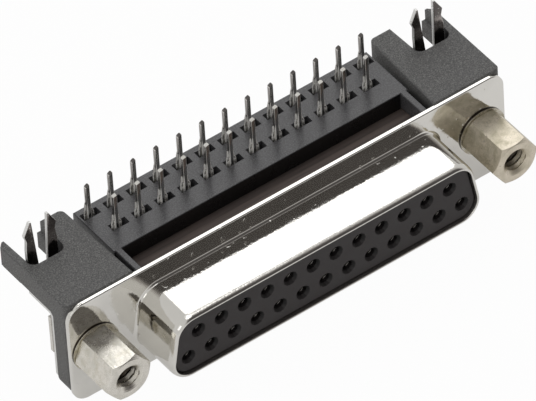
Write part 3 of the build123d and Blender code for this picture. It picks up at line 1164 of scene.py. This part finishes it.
@dataclass
class Contacts:
    """The 25 contacts, each a rolled socket with a flat tail bent up through the board."""

    finish: PinPlate
    pitch: float = 2.77
    row_spacing: float = 2.84
    wide_count: int = 13
    narrow_count: int = 12
    narrow_leg: float = 12.81
    socket_front: float = 0.8
    socket_end: float = 9.0
    socket_radius: float = 0.75
    bore_radius: float = 0.53
    bore_depth: float = 5.6
    mouth_length: float = 0.1
    mouth_chamfer: float = 0.08
    socket_steps: int = 24
    slit_width: float = 0.22
    slit_length: float = 4.2
    slit_reach: float = 0.5
    strip_start: float = 8.5
    strip_half_width: float = 0.6
    thickness: float = 0.3
    bend_radius: float = 0.55
    bend_steps: int = 8
    tail_half_width: float = 0.24
    flare_start: float = 6.25
    flare_end: float = 7.85
    flare_steps: int = 12
    flare_power: float = 1.5
    top: float = 10.1
    tip_inset: float = 0.04
    tip_depth: float = 0.07
    lean_start: float = 5.25
    web_bottom: float = 5.75
    front_rise: float = 0.12
    wide_tip_drop: float = 0.26
    narrow_tip_drop: float = 0.12
    wide_lean: Point = (-0.15, 0.08)
    narrow_lean: Point = (-0.25, 0.1)
    edge: float = 0.09
    web_face: float = -0.02
    web_curl: float = 0.16
    web_fade: float = 2.5
    smooth_angle: float = 40.0

    def share(self, z: float) -> float:
        """How far a height has come from the comb to the end of the flare, from 0 to 1."""
        return min(1.0, max(0.0, (z - self.flare_start) / (self.flare_end - self.flare_start)))

    def half_width(self, z: float) -> float:
        """Half the width of the tail at a height.

        Args:
            z: The height.

        Returns:
            The half width.
        """
        eased = (1 - self.share(z)) ** self.flare_power
        return self.tail_half_width + (self.strip_half_width - self.tail_half_width) * eased

    def section(self, half: float, centre: Vector, out: Vector, web: float, rise: float) -> List[Vector]:
        """One ring across the strip, which can change from a plain bar to a shaft raised on a curled web.

        Args:
            half: Half the width along X.
            centre: Middle of the strip.
            out: Direction through the thickness.
            web: 0 for the plain bar and 1 for the raised shaft.
            rise: How much further the front face stands out.

        Returns:
            The ring.
        """
        thick, edge, shaft = self.thickness / 2, self.edge, self.tail_half_width
        front = thick + rise
        wide = max(half, shaft + 2 * edge)
        soft = 0.3 * edge
        plain = [(half - edge, -thick), (half - soft, -thick + soft), (half, -thick + edge)]
        plain += [(half, rise / 2), (half, front - edge), (half - soft, front - soft), (half - edge, front)]
        lift = self.web_curl * ((wide - shaft) / (self.strip_half_width - shaft)) ** 2
        face, soft = self.web_face, 0.5 * edge
        raised = [(wide - edge, lift - thick), (wide, lift - thick + soft), (wide, lift + face - soft)]
        raised += [(wide - edge, lift + face), (shaft, face + edge), (shaft, front - edge), (shaft - edge, front)]
        side = [(x0 + (x1 - x0) * web, v0 + (v1 - v0) * web) for (x0, v0), (x1, v1) in zip(plain, raised)]
        outline = side + [(-x, v) for x, v in reversed(side)]
        return [centre + Vector((x, 0, 0)) + out * v for x, v in outline]

    def tail(self, height: float, leg: float, lean: Point, drop: float) -> bpy.types.Object:
        """The flat tail of one contact, with its bend and its oblique tip.

        Args:
            height: Height of the row.
            leg: Where the upright leg stands along Y.
            lean: How far the leg above the comb stands off along X and Y.
            drop: How much lower the tip is on its left.

        Returns:
            The tail.
        """
        wide = self.strip_half_width
        rings = [self.section(wide, Vector((0, self.strip_start, height)), Vector((0, 0, 1)), 0.0, 0.0)]
        radius = self.bend_radius
        for u, v in arc((leg - radius, height + radius), radius, -90, 0, self.bend_steps):
            out = Vector((0, leg - radius - u, height + radius - v)).normalized()
            rings.append(self.section(wide, Vector((0, u, v)), out, 0.0, 0.0))
        back = Vector((0, -1, 0))
        x, y, rise = lean[0], leg + lean[1], self.front_rise
        low = Vector((x / 2, leg + lean[1] / 2, self.lean_start))
        rings.append(self.section(wide, low, back, 0.0, 0.0))
        rings.append(self.section(wide, Vector((x, y, self.web_bottom)), back, 1.0, rise))
        for index in range(self.flare_steps + 1):
            z = self.flare_start + (self.flare_end - self.flare_start) * index / self.flare_steps
            web = min(1.0, (1 - index / self.flare_steps) * self.web_fade)
            rings.append(self.section(self.half_width(z), Vector((x, y, z)), back, web, rise))
        half = self.tail_half_width
        for inset, down in ((0.0, self.tip_depth), (self.tip_inset, 0.0)):
            tip = self.section(half - inset, Vector((x, y, self.top - down)), back, 0.0, rise)
            rings.append([p - Vector((0, 0, drop * (half + x - p.x) / (2 * half))) for p in tip])
        return Bench.loft("tail", rings, caps=True)

    def socket(self, height: float) -> bpy.types.Object:
        """The rolled socket of one contact.

        Args:
            height: Height of the row.

        Returns:
            The socket.
        """
        front, end = self.socket_front, self.socket_end
        outer, inner = self.socket_radius, self.bore_radius
        floor, mouth, chamfer = front + self.bore_depth, front + self.mouth_length, self.mouth_chamfer
        profile = [(CORE, floor), (inner, floor), (inner, mouth), (inner + chamfer, front)]
        profile += [(outer - chamfer, front), (outer, mouth), (outer, end), (CORE, end)]
        rings = [across_y(circle((0, height), radius, self.socket_steps), y) for radius, y in profile]
        body = Bench.loft("socket", rings, caps=True)
        half, reach = self.slit_width / 2, 2 * outer
        box = [(-half, height - reach), (half, height - reach), (half, height + reach), (-half, height + reach)]
        slit_ends = [across_y(box, front - self.slit_reach), across_y(box, front + self.slit_length)]
        Bench.carve(body, Bench.loft("slit", slit_ends, caps=True))
        return body

    def build(self) -> List[bpy.types.Object]:
        """Models one contact of each row and copies it along the row.

        Returns:
            The 25 contacts.
        """
        material = self.finish.build()
        made: List[bpy.types.Object] = []
        number = 0
        for row, count in ((Row.WIDE, self.wide_count), (Row.NARROW, self.narrow_count)):
            wide = row is Row.WIDE
            height = self.row_spacing / 2 * (-1 if wide else 1)
            leg = self.narrow_leg + (self.row_spacing if wide else 0)
            lean = self.wide_lean if wide else self.narrow_lean
            drop = self.wide_tip_drop if wide else self.narrow_tip_drop
            model = Bench.join([self.socket(height), self.tail(height, leg, lean, drop)], "contact_model")
            Bench.smooth(model, self.smooth_angle)
            Bench.dress(model, material)
            for index in range(count):
                number += 1
                x = (index - (count - 1) / 2) * self.pitch
                contact = Bench.copy(model, "pin_{:02d}".format(number), Vector((x, 0, 0)))
                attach(contact, "root")
                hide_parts("contact_{:02d}".format(number))
                made.append(contact)
            bpy.data.objects.remove(model)
        return made


@dataclass
class ScrewLock:
    """A hexagonal screw lock with a chamfered end, a cut thread and a stem."""

    side: Side
    turn: float
    base: Colour
    stain: Colour
    metal: float
    patina_share: float
    rough: float
    spacing: float = 47.04
    flats: float = 4.76
    end: float = 0.05
    foot: float = 5.53
    foot_radius: float = 2.42
    chamfer_radius: float = 2.3
    chamfer_length: float = 0.32
    chamfer_reach: float = 0.2
    edge: float = 0.06
    stem_radius: float = 1.4
    stem_end: float = 10.35
    stem_chamfer: float = 0.25
    turned_steps: int = 60
    thread_pitch: float = 0.635
    thread_crest: float = 1.2
    thread_root: float = 1.46
    thread_depth: float = 5.0
    thread_steps: int = 48
    steps_per_turn: int = 10
    groove_share: float = 0.44
    entry_radius: float = 1.58
    entry_depth: float = 0.34
    entry_reach: float = 0.1
    entry_spread: float = 0.2
    drill_radius: float = 0.2
    drill_reach: float = 0.6
    rough_spread: float = 0.08
    bore_span: Span = (1.5, 1.55)
    smooth_angle: float = 30.0

    def axis(self) -> float:
        """Where the lock's axis lies along X."""
        return self.side.value * self.spacing / 2

    def turned(self, profile: Sequence[Point], name: str) -> bpy.types.Object:
        """A body of revolution about the lock's axis.

        Args:
            profile: Radius and Y of each ring.
            name: Name of the body.

        Returns:
            The body.
        """
        rings = [across_y(circle((self.axis(), 0), radius, self.turned_steps), y) for radius, y in profile]
        return Bench.loft(name, rings, caps=True)

    def head(self) -> bpy.types.Object:
        """The hexagonal head with its chamfered end.

        Returns:
            The head.
        """
        corner = self.flats / 2 / math.cos(math.radians(30))
        outline = circle((self.axis(), 0), corner, 6, self.turn)
        prism = Bench.loft("hexagon", [across_y(outline, self.end), across_y(outline, self.foot)], caps=True)
        Bench.ease(prism, self.edge, 2)
        reach = corner + self.chamfer_reach
        grade = (corner - self.chamfer_radius) / self.chamfer_length
        cone = [(self.chamfer_radius, self.end), (reach, self.end + (reach - self.chamfer_radius) / grade)]
        cone += [(reach, self.foot - (reach - self.foot_radius) / grade), (self.foot_radius, self.foot)]
        Bench.carve(prism, self.turned(cone, "cone"), Keep.INSIDE)
        return prism

    def thread_void(self) -> bpy.types.Object:
        """The hole with its entry cone and the turns of the thread.

        Returns:
            The void, used to cut the head.
        """
        x, around = self.axis(), self.thread_steps
        start = self.end + self.entry_reach
        count = int(self.thread_depth / self.thread_pitch * self.steps_per_turn)
        mouth = circle((x, 0), self.entry_radius + self.entry_spread, around)
        rings = [across_y(mouth, self.end - self.entry_reach)]
        for index in range(count + 1):
            y = start + index * self.thread_pitch / self.steps_per_turn
            sunk = max(0.0, y - self.end)
            limit = self.entry_radius - sunk * (self.entry_radius - self.thread_crest) / self.entry_depth
            ring = []
            for step in range(around):
                angle = 2 * math.pi * step / around
                phase = ((y - start) / self.thread_pitch + step / around) % 1.0
                groove = max(0.0, 1 - abs(phase - 0.5) / self.groove_share)
                radius = self.thread_crest + (self.thread_root - self.thread_crest) * groove
                radius = max(radius, limit)
                ring.append(Vector((x + radius * math.cos(angle), y, radius * math.sin(angle))))
            rings.append(ring)
        bottom = circle((x, 0), self.drill_radius, around)
        rings.append(across_y(bottom, self.end + self.thread_depth + self.drill_reach))
        return Bench.loft("thread", rings, caps=True)

    def build(self) -> List[bpy.types.Object]:
        """Models and dresses the screw lock.

        Returns:
            The screw lock as the only piece.
        """
        head = self.head()
        Bench.carve(head, self.thread_void())
        radius, tip = self.stem_radius, self.stem_end - self.stem_chamfer
        profile = [(CORE, self.foot), (radius, self.foot), (radius, tip)]
        profile += [(radius - self.stem_chamfer, self.stem_end), (CORE, self.stem_end)]
        stem = self.turned(profile, "stem")
        name = self.side.name.lower()
        lock = Bench.join([head, stem], name + "_hex_lock")
        Bench.smooth(lock, self.smooth_angle)
        finish = TurnedPlate(
            name + "_lock_plate",
            base=self.base,
            stain=self.stain,
            rough_low=self.rough - self.rough_spread,
            rough_high=self.rough + self.rough_spread,
            axis_mm=self.axis(),
            metal=self.metal,
            patina_share=self.patina_share,
            bore_span=self.bore_span,
        )
        Bench.dress(lock, finish.build())
        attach(lock, "root")
        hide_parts(name + "_screw_lock")
        return [lock]


@dataclass
class BoardLock:
    """A stamped board lock whose prongs are sprung a little out of line, with rounded edges."""

    side: Side
    finish: StampedPlate
    left_lean: float
    right_lean: float
    rise: float = 0.3
    foot: float = 6.6
    top: float = 10.95
    edge: float = 0.06
    edge_segments: int = 2
    edge_angle: float = 40.0
    merge: float = 0.002
    flat_angle: float = 2.0

    def build(self) -> List[bpy.types.Object]:
        """Shapes the board lock from its solid and dresses it.

        Returns:
            The board lock as the only piece.
        """
        name = self.side.name.lower()
        lock = Bench.copy(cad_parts[name + "_board_lock"], name + "_lock_fork", Vector((0, 0, 0)))
        Bench.only(lock)
        bpy.ops.object.mode_set(mode="EDIT")
        bpy.ops.mesh.select_all(action="SELECT")
        bpy.ops.mesh.remove_doubles(threshold=self.merge * MM)
        bpy.ops.mesh.dissolve_limited(angle_limit=math.radians(self.flat_angle))
        bpy.ops.object.mode_set(mode="OBJECT")
        places = [vertex.co.x for vertex in lock.data.vertices]
        middle = (min(places) + max(places)) / 2
        for vertex in lock.data.vertices:
            share = max(0.0, (vertex.co.z / MM - self.foot) / (self.top - self.foot))
            lean = self.left_lean if vertex.co.x < middle else self.right_lean
            vertex.co += Vector((lean * share, 0, self.rise * share)) * MM
        Bench.ease(lock, self.edge, self.edge_segments, self.edge_angle)
        Bench.smooth(lock, self.edge_angle)
        Bench.dress(lock, self.finish.build())
        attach(lock, "root")
        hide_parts(name + "_board_lock")
        return [lock]


@dataclass
class MouldedBody:
    """The moulded and stamped solids that are shown as they are, each with its finish."""

    insulator: MouldedPlastic
    comb: MouldedPlastic
    bracket: MouldedPlastic
    nut: PlatedSheet
    washer: TurnedPlate

    def build(self) -> List[bpy.types.Object]:
        """Dresses the solids.

        Returns:
            The dressed solids.
        """
        plan = (
            (("front_insulator", "rear_insulator"), self.insulator),
            (("tail_comb",), self.comb),
            (("left_bracket", "right_bracket"), self.bracket),
            (("left_nut", "right_nut"), self.nut),
            (("left_washer",), self.washer),
            (("right_washer",), replace(self.washer, name="right_washer_plate", axis_mm=-self.washer.axis_mm)),
        )
        made = []
        for names, finish in plan:
            material = finish.build()
            for name in names:
                Bench.dress(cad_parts[name], material)
                made.append(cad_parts[name])
        return made


# Studio


@dataclass(frozen=True)
class SoftBox:
    """A rectangular lamp that faces the object. Its place and size are in metres."""

    name: str
    place: Tuple[float, float, float]
    size: Tuple[float, float]
    glow: float
    colour: Colour = WHITE

    def build(self) -> None:
        """Hangs the lamp."""
        data = bpy.data.lights.new(self.name, "AREA")
        data.shape = "RECTANGLE"
        data.size, data.size_y = self.size
        data.energy = self.glow * math.pi * self.size[0] * self.size[1]
        data.color = self.colour
        made = bpy.data.objects.new(self.name, data)
        bpy.context.scene.collection.objects.link(made)
        toward = Vector(self.place)
        made.matrix_world = Matrix.Translation(toward) @ toward.to_track_quat("Z", "Y").to_matrix().to_4x4()


@dataclass
class Studio:
    """The pale floor, the soft lights, the surroundings that the metal mirrors and the camera."""

    azimuth: float = -33.649
    elevation: float = 45.032
    roll: float = -3.812
    distance: float = 971.0
    target: Tuple[float, float, float] = (-2.3456, 5.75, 6.5588)
    focal_px: float = 9974.7
    frame_px: float = 536.0
    sensor: float = 36.0
    nearest: float = 0.05
    farthest: float = 20.0
    floor_size: float = 1.6
    floor_gap: float = 0.02
    floor_colour: Colour = (0.82, 0.81, 0.8)
    speck_mm: float = 3.0
    speck_span: Span = (0.3, 0.7)
    speck_shade: float = 0.985
    seen_glow: float = 0.97
    mirrored_glow: float = 0.4
    surround: float = 0.66
    surround_tint: Colour = (1.0, 0.99, 0.97)
    dark_level: float = 0.085
    dark_tint: Colour = (1.0, 0.93, 0.9)
    dark_side: Tuple[float, float, float] = (0.39, -0.59, 0.71)
    dark_span: Span = (0.62, 0.93)
    lamps: Tuple[SoftBox, ...] = (
        SoftBox("back_panel", (0.39, 0.59, 0.71), (0.55, 0.5), 1.16),
        SoftBox("left_fill", (-1.1, -0.1, 0.7), (0.5, 0.5), 0.9, (1.0, 0.99, 0.97)),
        SoftBox("top_fill", (0.1, 0.2, 1.3), (0.6, 0.6), 1.3),
    )

    def back(self) -> Vector:
        """Direction from the target to the camera."""
        turn, lift = math.radians(self.azimuth), math.radians(self.elevation)
        return Vector((math.sin(turn) * math.cos(lift), -math.cos(turn) * math.cos(lift), math.sin(lift)))

    def camera(self) -> None:
        """Sets the camera at the photograph's angle."""
        back = self.back()
        right = Vector((0, 0, 1)).cross(back).normalized()
        up = back.cross(right)
        roll = math.radians(self.roll)
        across = right * math.cos(roll) + up * math.sin(roll)
        above = up * math.cos(roll) - right * math.sin(roll)
        data = bpy.data.cameras.new("camera")
        data.sensor_fit = "HORIZONTAL"
        data.sensor_width = self.sensor
        data.lens = self.focal_px * self.sensor / self.frame_px
        data.clip_start = self.nearest
        data.clip_end = self.farthest
        made = bpy.data.objects.new("camera", data)
        bpy.context.scene.collection.objects.link(made)
        turn = Matrix((across, above, back)).transposed().to_4x4()
        made.matrix_world = Matrix.Translation(Vector(self.target) * MM + back * self.distance * MM) @ turn
        bpy.context.scene.camera = made

    def floor(self) -> None:
        """Lays a pale floor that is white to the camera and keeps the shadow."""
        Bench.clear()
        level = CAD_BOX[0].z - self.floor_gap * MM
        bpy.ops.mesh.primitive_plane_add(size=self.floor_size, location=(0, 0, level))
        floor = bpy.context.object
        floor.name = "floor"
        bpy.ops.object.transform_apply(location=True, rotation=False, scale=False)
        material, sheet = new_material("pale_floor")
        speck = sheet.noise(sheet.place(), self.speck_mm, detail=2.0)
        shaded = tuple(part * self.speck_shade for part in self.floor_colour)
        tint = sheet.blend(speck.step(*self.speck_span), self.floor_colour, shaded)
        matt = sheet.wire("ShaderNodeBsdfDiffuse", None, {"Color": tint})
        glow = sheet.wire("ShaderNodeEmission", None, {"Color": WHITE, "Strength": 1.0})
        path = sheet.node("ShaderNodeLightPath")
        seen = Wire(sheet, path.outputs["Is Camera Ray"]) * self.seen_glow
        mirrored = Wire(sheet, path.outputs["Is Glossy Ray"]) * self.mirrored_glow
        both = sheet.wire("ShaderNodeMixShader", None, {0: seen + mirrored, 1: matt, 2: glow})
        sheet.node("ShaderNodeOutputMaterial", None, {"Surface": both})
        Bench.dress(floor, material)

    def world(self) -> None:
        """Surroundings that are white to the camera, pale around and dark where the photographer stands."""
        world = bpy.data.worlds.new("studio")
        world.use_nodes = True
        bpy.context.scene.world = world
        sheet = NodeSheet(world.node_tree)
        way = sheet.wire("ShaderNodeTexCoord", output="Generated")
        inputs = {0: way, 1: tuple(Vector(self.dark_side).normalized())}
        toward = sheet.wire("ShaderNodeVectorMath", {"operation": "DOT_PRODUCT"}, inputs, "Value")
        shade = toward.step(*self.dark_span)
        level = shade.between(self.surround, self.dark_level)
        tint = sheet.blend(shade, self.surround_tint, self.dark_tint)
        around = sheet.wire("ShaderNodeBackground", None, {"Color": tint, "Strength": level})
        white = sheet.wire("ShaderNodeBackground", None, {"Color": WHITE, "Strength": 1.0})
        camera_ray = sheet.wire("ShaderNodeLightPath", output="Is Camera Ray")
        both = sheet.wire("ShaderNodeMixShader", None, {0: camera_ray, 1: around, 2: white})
        sheet.node("ShaderNodeOutputWorld", None, {"Surface": both})

    def build(self) -> None:
        """Sets up the whole studio."""
        self.camera()
        self.floor()
        self.world()
        for lamp in self.lamps:
            lamp.build()
        bpy.context.scene.view_settings.view_transform = "Standard"


def main() -> None:
    """Builds and dresses the connector, then sets the studio around it."""
    logging.basicConfig(level=logging.INFO, format="%(name)s: %(message)s")
    shell_tin = DrawnSheet(
        "shell_tin",
        base=(0.80, 0.787, 0.75),
        stain=(0.74, 0.725, 0.69),
        rough_low=0.05,
        rough_high=0.13,
        skin_mm=0.28,
        skin_depth_mm=0.005,
        wave_mm=2.6,
        wave_depth_mm=0.01,
    )
    pin_tin = PinPlate(
        "pin_tin",
        base=(0.82, 0.81, 0.78),
        stain=(0.7, 0.68, 0.63),
        rough_low=0.08,
        rough_high=0.17,
        skin_mm=0.3,
        skin_depth_mm=0.003,
        wave_mm=1.2,
        wave_depth_mm=0.012,
    )
    board_lock_tin = StampedPlate(
        "board_lock_tin",
        base=(0.86, 0.86, 0.85),
        stain=(0.76, 0.76, 0.75),
        rough_low=0.12,
        rough_high=0.28,
        skin_mm=0.2,
        skin_depth_mm=0.006,
        wave_mm=1.5,
        wave_depth_mm=0.01,
    )
    nut_plate = PlatedSheet(
        "nut_plate",
        base=(0.74, 0.72, 0.68),
        stain=(0.6, 0.58, 0.54),
        rough_low=0.2,
        rough_high=0.35,
        skin_mm=0.2,
        skin_depth_mm=0.004,
        wave_mm=1.4,
        wave_depth_mm=0.01,
    )
    washer_plate = TurnedPlate(
        "left_washer_plate",
        base=(0.78, 0.75, 0.68),
        stain=(0.6, 0.56, 0.48),
        rough_low=0.2,
        rough_high=0.35,
        axis_mm=-23.52,
        rim_span=(2.68, 2.71),
    )
    insulator = InsulatorPlastic(
        "insulator_plastic",
        base=(0.030, 0.026, 0.027),
        worn=(0.043, 0.037, 0.038),
        grain_mm=0.12,
        grain_depth_mm=0.006,
        rough_low=0.5,
        rough_high=0.68,
    )
    comb = CombPlastic(
        "comb_plastic",
        base=(0.085, 0.085, 0.09),
        worn=(0.118, 0.118, 0.126),
        grain_mm=0.14,
        grain_depth_mm=0.005,
        rough_low=0.24,
        rough_high=0.38,
    )
    bracket = BracketPlastic(
        "bracket_plastic",
        base=(0.137, 0.137, 0.137),
        worn=(0.195, 0.195, 0.192),
        grain_mm=0.1,
        grain_depth_mm=0.014,
        rough_low=0.5,
        rough_high=0.72,
    )
    left_screw_lock = ScrewLock(
        Side.LEFT,
        turn=8,
        base=(0.84, 0.81, 0.75),
        stain=(0.74, 0.72, 0.66),
        metal=0.92,
        patina_share=0.3,
        rough=0.28,
    )
    right_screw_lock = ScrewLock(
        Side.RIGHT,
        turn=3,
        base=(0.86, 0.78, 0.65),
        stain=(0.72, 0.66, 0.53),
        metal=0.55,
        patina_share=0.6,
        rough=0.34,
    )
    groups: Tuple[Tuple[str, Callable[[], List[bpy.types.Object]]], ...] = (
        ("front shell", FrontShell(shell_tin).build),
        ("contacts", Contacts(pin_tin).build),
        ("left screw lock", left_screw_lock.build),
        ("right screw lock", right_screw_lock.build),
        ("left board lock", BoardLock(Side.LEFT, board_lock_tin, left_lean=-0.18, right_lean=-0.07).build),
        ("right board lock", BoardLock(Side.RIGHT, board_lock_tin, left_lean=-0.42, right_lean=-0.3).build),
        ("solids", MouldedBody(insulator, comb, bracket, nut_plate, washer_plate).build),
    )
    for label, build in groups:
        for piece in build():
            LOG.info("%s: %s, %d faces", label, piece.name, len(piece.data.polygons))
    Studio().build()


if __name__ == "__main__":
    main()
